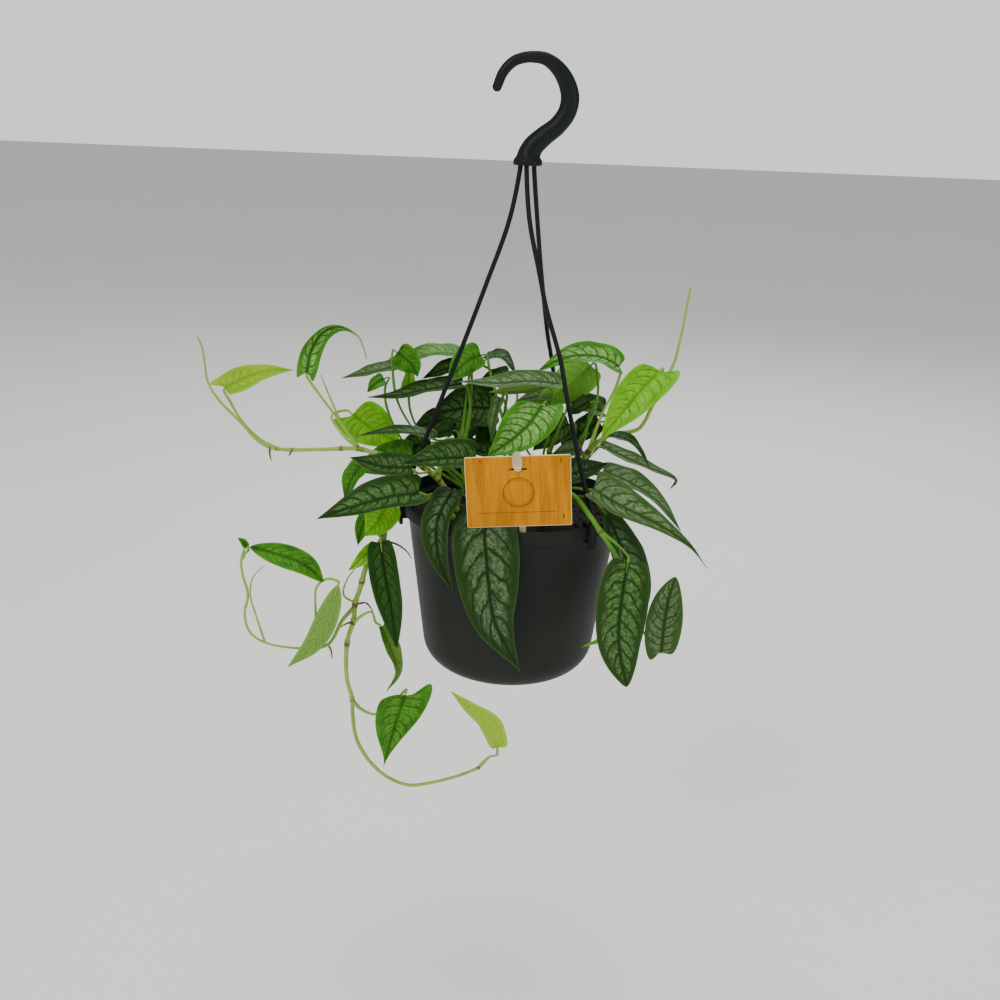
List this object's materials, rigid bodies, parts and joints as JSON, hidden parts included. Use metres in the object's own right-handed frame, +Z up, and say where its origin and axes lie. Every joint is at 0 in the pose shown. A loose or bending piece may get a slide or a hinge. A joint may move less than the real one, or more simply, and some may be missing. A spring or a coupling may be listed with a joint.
{
  "type": "potted climbing aroid in a hanging pot",
  "caption": "Climbing aroid with silver-veined pointed leaves and trailing vines, in a round plastic hanging pot with a hook, strands and a blank label",
  "frame": {"origin": "the inside top of the hook, where the pot hangs from its support", "axes": "+Z up along the hanger, -Y towards the label, +X to the right of the label as it is read"},
  "size_m": [0.3288, 0.1843, 0.4808],
  "materials": {
    "black_plastic": "semi-gloss charcoal moulded plastic",
    "label_card": "thin amber card with a printed wood grain",
    "label_stake": "off-white moulded plastic",
    "green_stem": "light yellow-green living stem, slightly waxy",
    "potting_soil": "dark crumbly potting soil",
    "leaf_dark": "deep green blade with dark veins, soft sheen",
    "leaf_green": "mid green blade, soft sheen",
    "leaf_young": "bright yellow-green young blade, slightly translucent",
    "leaf_silver": "silver green blade with dark veins, satin",
    "leaf_under": "pale grey-green underside turned to view, matt"
  },
  "bodies": {
    "root": {"pot": "black_plastic", "hanger_hook": "black_plastic", "hanger_strand_left": "black_plastic", "hanger_strand_right": "black_plastic", "hanger_strand_back": "black_plastic", "label_card": "label_card", "label_stake": "label_stake", "vine_left": "green_stem", "vine_trailing": "green_stem", "vine_right": "green_stem", "vine_front": "green_stem", "stems_left": "green_stem", "stems_centre": "green_stem", "stems_right": "green_stem", "stems_front": "green_stem", "stems_back": "green_stem", "soil": "potting_soil", "leaf_far_left": "leaf_young", "leaf_left_arch": "leaf_young", "leaf_left_heart": "leaf_young", "leaf_left_dark": "leaf_dark", "leaf_left_low": "leaf_dark", "leaf_left_hanging": "leaf_green", "leaf_left_rim": "leaf_dark", "leaf_front_left": "leaf_silver", "leaf_top_left": "leaf_dark", "leaf_top_left_tip": "leaf_silver", "leaf_top_left_long": "leaf_dark", "leaf_top_bright": "leaf_green", "leaf_top_dark": "leaf_dark", "leaf_top_long": "leaf_silver", "leaf_top_under": "leaf_under", "leaf_centre_narrow": "leaf_silver", "leaf_centre_front": "leaf_silver", "leaf_top_right": "leaf_green", "leaf_right_under": "leaf_young", "leaf_right_dark": "leaf_dark", "leaf_right_bright": "leaf_young", "leaf_right_thin": "leaf_dark", "leaf_right_back": "leaf_silver", "leaf_right_silver": "leaf_silver", "leaf_right_long": "leaf_dark", "leaf_right_hanging": "leaf_silver", "leaf_front_right": "leaf_silver", "leaf_right_round": "leaf_silver", "leaf_front_drape": "leaf_silver", "leaf_front_side": "leaf_dark", "leaf_trail_dark": "leaf_dark", "leaf_trail_thin": "leaf_under", "leaf_trail_far": "leaf_green", "leaf_trail_under": "leaf_under", "leaf_trail_heart": "leaf_green", "leaf_trail_tip": "leaf_under", "leaf_trail_top": "leaf_young", "leaf_inner_left": "leaf_dark", "leaf_inner_back": "leaf_dark", "leaf_inner_low": "leaf_dark", "leaf_inner_right": "leaf_silver", "leaf_back_drape": "leaf_dark", "leaf_back_right": "leaf_silver"}
  },
  "joints": []
}
